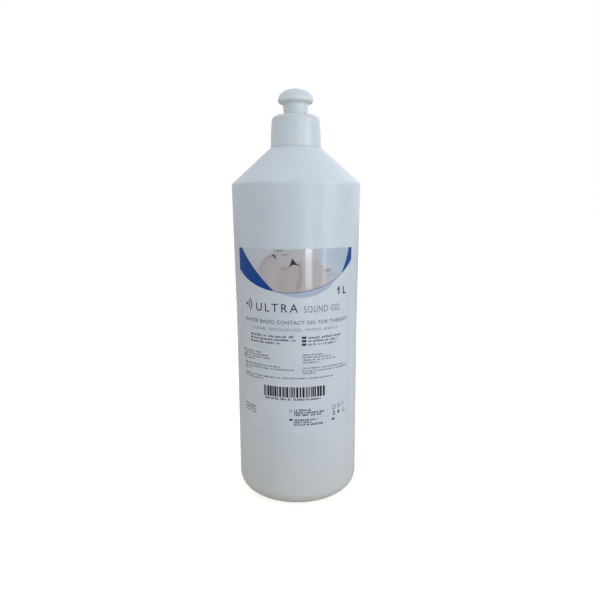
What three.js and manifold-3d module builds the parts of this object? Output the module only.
// A one-litre squeeze bottle of ultrasound coupling gel: a blow-moulded bottle with a
// threaded neck, its filling, a film label, a screw cap and a push-pull dispensing spout.
// Millimetres, +Z up. The origin is the centre of the base on the surface it stands on,
// and the label faces -Y.

import * as THREE from "three";
import { mergeVertices } from "three/addons/utils/BufferGeometryUtils.js";
import Module from "manifold-3d";

const wasm = await Module();
wasm.setup();

// ---------------------------------------------------------------- driving dimensions

// Bottle body
const BODY_RADIUS = 40.8; // straight lower part
const SHOULDER_RADIUS = 42.2; // the body widens a little up to the shoulder edge
const TAPER_START = 112; // height where the widening starts
const SHOULDER_HEIGHT = 206.2; // shoulder edge, where the cone starts
const SHOULDER_RISE = 0.907; // rise of the shoulder cone for each millimetre inwards
const SHOULDER_ROUNDING = 1.3;
const LEDGE_RADIUS = 17.2; // the cone ends here, in a flat ledge round the neck
const LEDGE_ROUNDING = 1;
const HEEL_ROUNDING = 9.2;
const STANDING_RING_WIDTH = 2.4;
const PUSH_UP = 4; // height of the hollow under the base
const HOLLOW_BEND = 0.6; // the hollow turns steeper here, as a share of its radius
const HOLLOW_BEND_DROP = 0.3; // its drop up to there, as a share of its height
const WALL = 1;

// Neck finish, for a 28 mm closure with one and a half turns at six to the inch
const NECK_RADIUS = 13;
const NECK_BORE_RADIUS = 10.8;
const NECK_TOP = 246;
const NECK_LIP_ROUNDING = 0.5;
const THREAD_PITCH = 25.4 / 6;
const THREAD_TURNS = 1.5;
const THREAD_DEPTH = 1;
const THREAD_ROOT_WIDTH = 2.2;
const THREAD_CREST_WIDTH = 1;
const THREAD_FOOT = 0.5; // how deep a ridge is rooted in its wall
const THREAD_BELOW_NECK_TOP = 2.1; // down to the middle of the highest turn
const THREAD_FADE_TURNS = 0.12; // each end of a thread runs out over this
const NECK_THREAD_START = NECK_TOP - THREAD_BELOW_NECK_TOP - THREAD_TURNS * THREAD_PITCH;

// Screw cap
const CAP_BOTTOM = 229.2;
const CAP_DECK_TOP = 248.9;
const CAP_DECK_THICKNESS = 1.5;
const CAP_DECK_BOTTOM = CAP_DECK_TOP - CAP_DECK_THICKNESS;
const CAP_SKIRT_RADIUS = 16.5; // at the bottom
const CAP_WAIST_RADIUS = 16.1; // halfway up the skirt
const CAP_WAIST_HEIGHT = 10; // above the cap's bottom
const CAP_BROW_RADIUS = 15.3; // where skirt and deck would meet without rounding
const CAP_INNER_RADIUS = 14.4;
const CAP_BOTTOM_ROUNDING = 0.5;
const CAP_CORNER_ROUNDING = 3.6;
const CAP_INNER_ROUNDING = 0.9;
const CAP_THREAD_DROP = 1.71; // the cap's thread lies this far under the neck's
const COLLAR_RADIUS = 8.2; // inner edge of the low ring round the spout's foot
const COLLAR_WIDTH = 1;
const COLLAR_TOP_WIDTH = 0.4;
const COLLAR_HEIGHT = 0.4;

// Dispensing tower of the cap, with the fixed post that closes the spout
const TOWER_RADIUS = 5.9;
const TOWER_BORE_RADIUS = 4.4;
const TOWER_TOP = 259.2;
const TOWER_TIP_RADIUS = 5.3;
const TOWER_BEAD_RADIUS = 6.4;
const TOWER_BEAD_BOTTOM = 256.8;
const TOWER_BEAD_HEIGHT = 0.9;
const TOWER_BEAD_LEAD = 0.2; // height of the slope under the bead
const POST_RADIUS = 1.75;
const POST_TOP = 264.5;
const POST_TIP_LENGTH = 0.8;
const POST_TIP_RADIUS = 1.35;
const SPOKE_COUNT = 3;
const SPOKE_WIDTH = 1.4;

// Push-pull spout
const SPOUT_BOTTOM = 249.4;
const SPOUT_FOOT_RADIUS = 7.6;
const SPOUT_STEM_RADIUS = 8.3; // where the stem meets the knob
const SPOUT_FILLET = 0.6; // under the knob
const SPOUT_BORE_RADIUS = 6.75;
const SPOUT_BEAD_RADIUS = 6.15;
const SPOUT_BEAD_HEIGHT = 1.6;
const SPOUT_BEAD_LEAD = 0.3; // height of the slope above the bead
const KNOB_UNDERSIDE = 257;
const KNOB_WIDEST = 258.8; // height of the widest part of the knob
const KNOB_RADIUS = 11.45;
const KNOB_TOP = 265.9; // where the dome would close over the hole
const KNOB_DOME_ANGLE = 76; // degrees of the dome's arc, up to the hole's funnel
const ORIFICE_RADIUS = 2.1;
const ORIFICE_FUNNEL_DEPTH = 0.8;
const SPOUT_ROOF = 260.8; // ceiling of the space inside the spout

// Sealing washer
const WASHER_OUTER_RADIUS = 13.4;
const WASHER_INNER_RADIUS = 10.2;
const WASHER_GAP = 0.2; // to the neck and to the cap, as they lie before tightening

// Filling and label
const GEL_TOP = 204.6;
const GEL_GAP = 0.3;
const LABEL_BOTTOM = 50;
const LABEL_TOP = 166.7;
const LABEL_WIDTH = 83;
const LABEL_GAP = 0.15;
const LABEL_THICKNESS = 0.2;

// Fineness
const SEGMENTS = 48; // around the axis
const SMALL_SEGMENTS = 24; // around thin round pieces
const FILLET_STEPS = 4;
const DOME_STEPS = 9;
const MERGE_DISTANCE = 1e-4;

// ------------------------------------------------------------------ outlines, [r, z]

// Points along an arc, with angles in degrees measured from the +r direction.
function arc(centre, radii, from, to, steps) {
  return Array.from({ length: steps + 1 }, (_, i) => {
    const angle = THREE.MathUtils.degToRad(from + ((to - from) * i) / steps);
    return [centre[0] + radii[0] * Math.cos(angle), centre[1] + radii[1] * Math.sin(angle)];
  });
}

// An outline through corners [r, z, rounding], with each rounding worked out as an arc.
function rounded(corners) {
  return corners.flatMap(([r, z, rounding = 0], i) => {
    if (!rounding) return [[r, z]];
    const corner = new THREE.Vector2(r, z);
    const back = new THREE.Vector2(...corners[i - 1].slice(0, 2)).sub(corner).normalize();
    const ahead = new THREE.Vector2(...corners[i + 1].slice(0, 2)).sub(corner).normalize();
    const halfAngle = Math.acos(back.dot(ahead)) / 2;
    const reach = rounding / Math.tan(halfAngle);
    const middle = back.clone().add(ahead).normalize();
    const centre = corner.clone().addScaledVector(middle, rounding / Math.sin(halfAngle));
    const from = corner.clone().addScaledVector(back, reach).sub(centre).angle();
    const to = corner.clone().addScaledVector(ahead, reach).sub(centre).angle();
    const sweep = THREE.MathUtils.euclideanModulo(to - from + Math.PI, 2 * Math.PI) - Math.PI;
    const degrees = THREE.MathUtils.radToDeg;
    return arc(
      centre.toArray(), [rounding, rounding], degrees(from), degrees(from + sweep), FILLET_STEPS,
    );
  });
}

// ---------------------------------------------------------------------------- solids

// A manifold-3d solid of a closed three.js geometry.
function solidOf(geometry) {
  geometry.deleteAttribute("normal");
  geometry.deleteAttribute("uv");
  const merged = mergeVertices(geometry, MERGE_DISTANCE);
  const index = merged.index.array;
  const triVerts = [];
  for (let i = 0; i < index.length; i += 3) {
    const [a, b, c] = index.slice(i, i + 3);
    if (a !== b && b !== c && c !== a) triVerts.push(a, b, c);
  }
  return new wasm.Manifold(
    new wasm.Mesh({
      numProp: 3,
      vertProperties: merged.attributes.position.array,
      triVerts: new Uint32Array(triVerts),
    }),
  );
}

// The solid of an outline turned about +Z. It is drawn anticlockwise in the r-z plane.
function turned(outline, segments = SEGMENTS) {
  const points = outline.map(([r, z]) => new THREE.Vector2(r, z));
  return solidOf(new THREE.LatheGeometry(points, segments).rotateX(Math.PI / 2));
}

// The same for an outline that stays clear of the axis, as a ring's does.
function turnedRing(outline, segments = SEGMENTS) {
  return turned([...outline, outline[0]], segments);
}

// A right-hand helical ridge that stands out of, or into, a round wall. It starts at the
// height of its lower end, and each end sinks into the wall.
function threadRidge(wallRadius, crestRadius, lowerEnd) {
  const rooted = THREAD_FOOT * Math.sign(wallRadius - crestRadius);
  const steps = THREAD_TURNS * SEGMENTS;
  const positions = [];
  for (let i = 0; i <= steps; i++) {
    const turn = i / SEGMENTS;
    const nearestEnd = Math.min(turn, THREAD_TURNS - turn);
    const stand = Math.min(1, nearestEnd / THREAD_FADE_TURNS);
    const crest = wallRadius + rooted / 2 + (crestRadius - wallRadius - rooted / 2) * stand;
    const angle = turn * 2 * Math.PI;
    const height = lowerEnd + turn * THREAD_PITCH;
    const section = [
      [wallRadius + rooted, -THREAD_ROOT_WIDTH / 2],
      [crest, -THREAD_CREST_WIDTH / 2],
      [crest, THREAD_CREST_WIDTH / 2],
      [wallRadius + rooted, THREAD_ROOT_WIDTH / 2],
    ];
    if (rooted > 0) section.reverse();
    for (const [r, z] of section)
      positions.push(r * Math.cos(angle), r * Math.sin(angle), height + z);
  }
  const index = [0, 1, 2, 0, 2, 3];
  for (let i = 0; i < steps; i++)
    for (let k = 0; k < 4; k++) {
      const near = 4 * i + k;
      const side = 4 * i + ((k + 1) % 4);
      index.push(near, near + 4, side, side, near + 4, side + 4);
    }
  const last = 4 * steps;
  index.push(last, last + 2, last + 1, last, last + 3, last + 2);
  const ridge = new THREE.BufferGeometry();
  ridge.setAttribute("position", new THREE.Float32BufferAttribute(positions, 3));
  ridge.setIndex(index);
  return solidOf(ridge);
}

// A named mesh of a finished solid.
function piece(name, solid, material) {
  const mesh = solid.getMesh();
  const geometry = new THREE.BufferGeometry();
  geometry.setAttribute("position", new THREE.BufferAttribute(mesh.vertProperties, 3));
  geometry.setIndex(new THREE.BufferAttribute(mesh.triVerts, 1));
  geometry.computeVertexNormals();
  const made = new THREE.Mesh(geometry, new THREE.MeshStandardMaterial(material));
  made.name = name;
  return made;
}

// ---------------------------------------------------------------------------- bottle

const TAPER_SHARE = (SHOULDER_RADIUS - BODY_RADIUS) / (SHOULDER_HEIGHT - TAPER_START);
const CONE_WALL_DROP = WALL * Math.hypot(1, SHOULDER_RISE); // wall of the cone, measured upright

// Radius of the body's outside at a height under the shoulder edge.
function bodyRadiusAt(height) {
  return BODY_RADIUS + Math.max(0, height - TAPER_START) * TAPER_SHARE;
}

// Height of the shoulder cone's outside at a radius.
function coneHeightAt(radius) {
  return SHOULDER_HEIGHT + (SHOULDER_RADIUS - radius) * SHOULDER_RISE;
}

// The outline of the bottle's inside up to a height, from the axis at the base.
// Spacing is the distance in from the bottle's outside.
function insideTo(height, spacing) {
  const floor = PUSH_UP + spacing;
  const hollowRadius = BODY_RADIUS - HEEL_ROUNDING - STANDING_RING_WIDTH;
  return [
    [0, floor],
    [hollowRadius * HOLLOW_BEND, floor - PUSH_UP * HOLLOW_BEND_DROP],
    [hollowRadius, spacing],
    [BODY_RADIUS - spacing, spacing, HEEL_ROUNDING - spacing],
    [BODY_RADIUS - spacing, TAPER_START],
    [bodyRadiusAt(height) - spacing, height],
  ];
}

function bottle() {
  const ledge = coneHeightAt(LEDGE_RADIUS);
  const wallTop = coneHeightAt(SHOULDER_RADIUS - WALL) - CONE_WALL_DROP;
  const outside = [
    ...insideTo(SHOULDER_HEIGHT, 0).slice(0, -1),
    [SHOULDER_RADIUS, SHOULDER_HEIGHT, SHOULDER_ROUNDING],
    [LEDGE_RADIUS, ledge, LEDGE_ROUNDING],
    [NECK_RADIUS, ledge, LEDGE_ROUNDING],
    [NECK_RADIUS, NECK_TOP, NECK_LIP_ROUNDING],
    [NECK_BORE_RADIUS, NECK_TOP],
  ];
  const inside = [
    [NECK_BORE_RADIUS, ledge - WALL],
    [LEDGE_RADIUS - (CONE_WALL_DROP - WALL) / SHOULDER_RISE, ledge - WALL],
    ...insideTo(wallTop, WALL).reverse(),
  ];
  const thread = threadRidge(NECK_RADIUS, NECK_RADIUS + THREAD_DEPTH, NECK_THREAD_START);
  return turned(rounded([...outside, ...inside])).add(thread);
}

// The filling stands in the bottle up to the shoulder, a little clear of the wall.
function gelFill() {
  return turned([...rounded(insideTo(GEL_TOP, WALL + GEL_GAP)), [0, GEL_TOP]]);
}

// ----------------------------------------------------------------------------- label

// A thin shell that follows the body, cut to the label's width by a wedge.
function frontLabel() {
  const inner = (height) => [bodyRadiusAt(height) + LABEL_GAP, height];
  const outer = (height) => [bodyRadiusAt(height) + LABEL_GAP + LABEL_THICKNESS, height];
  const shell = turnedRing([
    outer(LABEL_BOTTOM), outer(TAPER_START), outer(LABEL_TOP),
    inner(LABEL_TOP), inner(TAPER_START), inner(LABEL_BOTTOM),
  ]);
  const halfAngle = LABEL_WIDTH / 2 / BODY_RADIUS;
  const reach = 2 * SHOULDER_RADIUS;
  const side = new THREE.Vector2(Math.sin(halfAngle), -Math.cos(halfAngle)).multiplyScalar(reach);
  const wedge = new THREE.Shape([
    new THREE.Vector2(0, 0),
    new THREE.Vector2(-side.x, side.y),
    new THREE.Vector2(0, -2 * reach),
    side,
  ]);
  const cutter = new THREE.ExtrudeGeometry(wedge, { depth: SHOULDER_HEIGHT, bevelEnabled: false });
  return shell.intersect(solidOf(cutter));
}

// ------------------------------------------------------------------------------- cap

// Skirt, deck and tower in one turned piece.
function capShell() {
  return turnedRing(rounded([
    [CAP_INNER_RADIUS, CAP_BOTTOM],
    [CAP_SKIRT_RADIUS, CAP_BOTTOM, CAP_BOTTOM_ROUNDING],
    [CAP_WAIST_RADIUS, CAP_BOTTOM + CAP_WAIST_HEIGHT],
    [CAP_BROW_RADIUS, CAP_DECK_TOP, CAP_CORNER_ROUNDING],
    [COLLAR_RADIUS + COLLAR_WIDTH, CAP_DECK_TOP],
    [COLLAR_RADIUS + COLLAR_TOP_WIDTH, CAP_DECK_TOP + COLLAR_HEIGHT],
    [COLLAR_RADIUS, CAP_DECK_TOP],
    [TOWER_RADIUS, CAP_DECK_TOP],
    [TOWER_RADIUS, TOWER_BEAD_BOTTOM],
    [TOWER_BEAD_RADIUS, TOWER_BEAD_BOTTOM + TOWER_BEAD_LEAD],
    [TOWER_BEAD_RADIUS, TOWER_BEAD_BOTTOM + TOWER_BEAD_HEIGHT],
    [TOWER_TIP_RADIUS, TOWER_TOP],
    [TOWER_BORE_RADIUS, TOWER_TOP],
    [TOWER_BORE_RADIUS, CAP_DECK_BOTTOM],
    [CAP_INNER_RADIUS, CAP_DECK_BOTTOM, CAP_INNER_ROUNDING],
    [CAP_INNER_RADIUS, CAP_BOTTOM + CAP_WAIST_HEIGHT],
  ]));
}

// The post that closes the spout's hole, with its tip tapered.
function capPost() {
  return turned(
    [
      [0, CAP_DECK_BOTTOM],
      [POST_RADIUS, CAP_DECK_BOTTOM],
      [POST_RADIUS, POST_TOP - POST_TIP_LENGTH],
      [POST_TIP_RADIUS, POST_TOP],
      [0, POST_TOP],
    ],
    SMALL_SEGMENTS,
  );
}

// One of the spokes that hold the post in the mouth of the tower.
function capSpoke(angle) {
  const length = (TOWER_BORE_RADIUS + TOWER_RADIUS) / 2;
  const spoke = new THREE.BoxGeometry(length, SPOKE_WIDTH, CAP_DECK_THICKNESS);
  spoke.translate(length / 2, 0, CAP_DECK_TOP - CAP_DECK_THICKNESS / 2);
  return solidOf(spoke.rotateZ(angle));
}

function screwCap() {
  const crestRadius = CAP_INNER_RADIUS - THREAD_DEPTH;
  const thread = threadRidge(CAP_INNER_RADIUS, crestRadius, NECK_THREAD_START - CAP_THREAD_DROP);
  let cap = capShell().add(thread).add(capPost());
  for (let i = 0; i < SPOKE_COUNT; i++)
    cap = cap.add(capSpoke((i * 2 * Math.PI) / SPOKE_COUNT));
  return cap;
}

// ----------------------------------------------------------------------------- spout

// A sleeve over the tower, with a domed knob and a hole through its top.
function pullSpout() {
  const underRounding = KNOB_WIDEST - KNOB_UNDERSIDE;
  const domeRadii = [KNOB_RADIUS, KNOB_TOP - KNOB_WIDEST];
  const beadTop = SPOUT_BOTTOM + SPOUT_BEAD_HEIGHT;
  const rimCentre = [KNOB_RADIUS - underRounding, KNOB_WIDEST];
  return turnedRing([
    [SPOUT_BEAD_RADIUS, SPOUT_BOTTOM],
    [SPOUT_FOOT_RADIUS, SPOUT_BOTTOM],
    ...rounded([
      [SPOUT_FOOT_RADIUS, SPOUT_BOTTOM],
      [SPOUT_STEM_RADIUS, KNOB_UNDERSIDE, SPOUT_FILLET],
      [rimCentre[0], KNOB_UNDERSIDE],
    ]).slice(1, -1),
    ...arc(rimCentre, [underRounding, underRounding], -90, 0, FILLET_STEPS),
    ...arc([0, KNOB_WIDEST], domeRadii, 0, KNOB_DOME_ANGLE, DOME_STEPS).slice(1),
    [ORIFICE_RADIUS, KNOB_TOP - ORIFICE_FUNNEL_DEPTH],
    [ORIFICE_RADIUS, SPOUT_ROOF],
    [SPOUT_BORE_RADIUS, SPOUT_ROOF],
    [SPOUT_BORE_RADIUS, beadTop],
    [SPOUT_BEAD_RADIUS, beadTop - SPOUT_BEAD_LEAD],
  ]);
}

// ---------------------------------------------------------------------------- washer

function sealingWasher() {
  return turnedRing([
    [WASHER_INNER_RADIUS, NECK_TOP + WASHER_GAP],
    [WASHER_OUTER_RADIUS, NECK_TOP + WASHER_GAP],
    [WASHER_OUTER_RADIUS, CAP_DECK_BOTTOM - WASHER_GAP],
    [WASHER_INNER_RADIUS, CAP_DECK_BOTTOM - WASHER_GAP],
  ]);
}

// -------------------------------------------------------------------------- assembly

const gelBottle = new THREE.Group();
gelBottle.add(
  piece("bottle", bottle(), { color: 0xc6ced8, roughness: 0.42, metalness: 0 }),
  piece("gel_fill", gelFill(), { color: 0xb9cfe0, roughness: 0.1, metalness: 0 }),
  piece("front_label", frontLabel(), { color: 0xd4d7e4, roughness: 0.3, metalness: 0 }),
  piece("sealing_washer", sealingWasher(), { color: 0xf2f2ee, roughness: 0.8, metalness: 0 }),
  piece("screw_cap", screwCap(), { color: 0xd2dae1, roughness: 0.38, metalness: 0 }),
  piece("pull_spout", pullSpout(), { color: 0xd0d9df, roughness: 0.38, metalness: 0 }),
);

export default gelBottle;
